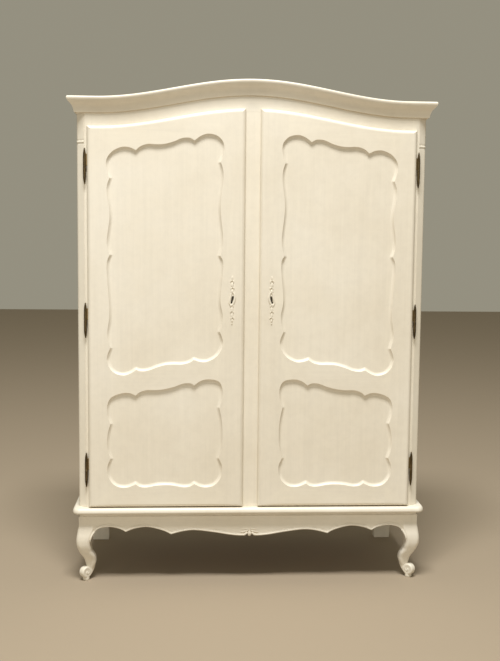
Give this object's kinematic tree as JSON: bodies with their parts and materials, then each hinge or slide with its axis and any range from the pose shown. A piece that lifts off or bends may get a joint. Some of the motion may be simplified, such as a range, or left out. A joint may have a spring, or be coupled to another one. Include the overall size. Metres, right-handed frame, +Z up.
{
  "type": "armoire",
  "caption": "Tall painted wooden armoire with an arched cornice, hinged doors with scalloped panels, hanging rail, hat shelf and scroll feet.",
  "frame": {"origin": "on the floor, under the centre of the bounding box", "axes": "+Z up, -Y out of the doors, +X to the right of a person facing the doors"},
  "size_m": [1.404, 0.606, 1.95],
  "materials": {
    "cream_paint": "satin cream paint over wood, brushed",
    "bare_wood": "unpainted, lightly oiled wood",
    "dark_bronze": "dark patinated bronze",
    "lock_steel": "dull brushed steel",
    "rail_brass": "aged brass",
    "painted_plate": "cream paint over cast metal"
  },
  "bodies": {
    "case": {"cornice_front": "cream_paint", "cornice_left": "cream_paint", "cornice_right": "cream_paint", "frieze_rail": "cream_paint", "top_board": "bare_wood", "corner_post_left": "cream_paint", "corner_post_right": "cream_paint", "centre_stile": "cream_paint", "rear_post_left": "cream_paint", "rear_post_right": "cream_paint", "side_top_rail_left": "cream_paint", "side_top_rail_right": "cream_paint", "side_bottom_rail_left": "cream_paint", "side_bottom_rail_right": "cream_paint", "side_panel_left": "cream_paint", "side_panel_right": "cream_paint", "back_top_rail": "bare_wood", "back_bottom_rail": "bare_wood", "back_muntin": "bare_wood", "back_panel_left": "bare_wood", "back_panel_right": "bare_wood", "floor_board": "bare_wood", "base_moulding_front": "cream_paint", "base_moulding_left": "cream_paint", "base_moulding_right": "cream_paint", "front_apron": "cream_paint", "apron_carving": "cream_paint", "side_apron_left": "cream_paint", "side_apron_right": "cream_paint", "back_apron": "bare_wood", "front_leg_left": "cream_paint", "front_leg_right": "cream_paint", "hat_shelf": "bare_wood", "shelf_cleats": "bare_wood", "hanging_rail": "rail_brass", "rail_sockets": "rail_brass", "strike_plates": "lock_steel", "hinge_pins": "dark_bronze"},
    "left_door": {"hinge_stile_left": "cream_paint", "lock_stile_left": "cream_paint", "door_top_rail_left": "cream_paint", "door_mid_rail_left": "cream_paint", "door_bottom_rail_left": "cream_paint", "upper_panel_left": "cream_paint", "lower_panel_left": "cream_paint", "hinge_leaves_left": "dark_bronze", "escutcheon_left": "painted_plate", "lock_case_left": "lock_steel"},
    "right_door": {"hinge_stile_right": "cream_paint", "lock_stile_right": "cream_paint", "door_top_rail_right": "cream_paint", "door_mid_rail_right": "cream_paint", "door_bottom_rail_right": "cream_paint", "upper_panel_right": "cream_paint", "lower_panel_right": "cream_paint", "hinge_leaves_right": "dark_bronze", "escutcheon_right": "painted_plate", "lock_case_right": "lock_steel"},
    "left_bolt": {"lock_bolt_left": "lock_steel"},
    "right_bolt": {"lock_bolt_right": "lock_steel"}
  },
  "joints": [
    {"name": "left_door_hinge", "type": "hinge", "parent": "case", "child": "left_door", "pos_m": [-0.638, -0.28, 1.034], "axis": [0, 0, -1], "range_deg": [0, 165]},
    {"name": "right_door_hinge", "type": "hinge", "parent": "case", "child": "right_door", "pos_m": [0.638, -0.28, 1.034], "axis": [0, 0, 1], "range_deg": [0, 165]},
    {"name": "left_bolt_slide", "type": "slide", "parent": "left_door", "child": "left_bolt", "axis": [1, 0, 0], "range_m": [0, 0.009]},
    {"name": "right_bolt_slide", "type": "slide", "parent": "right_door", "child": "right_bolt", "axis": [-1, 0, 0], "range_m": [0, 0.009]}
  ]
}
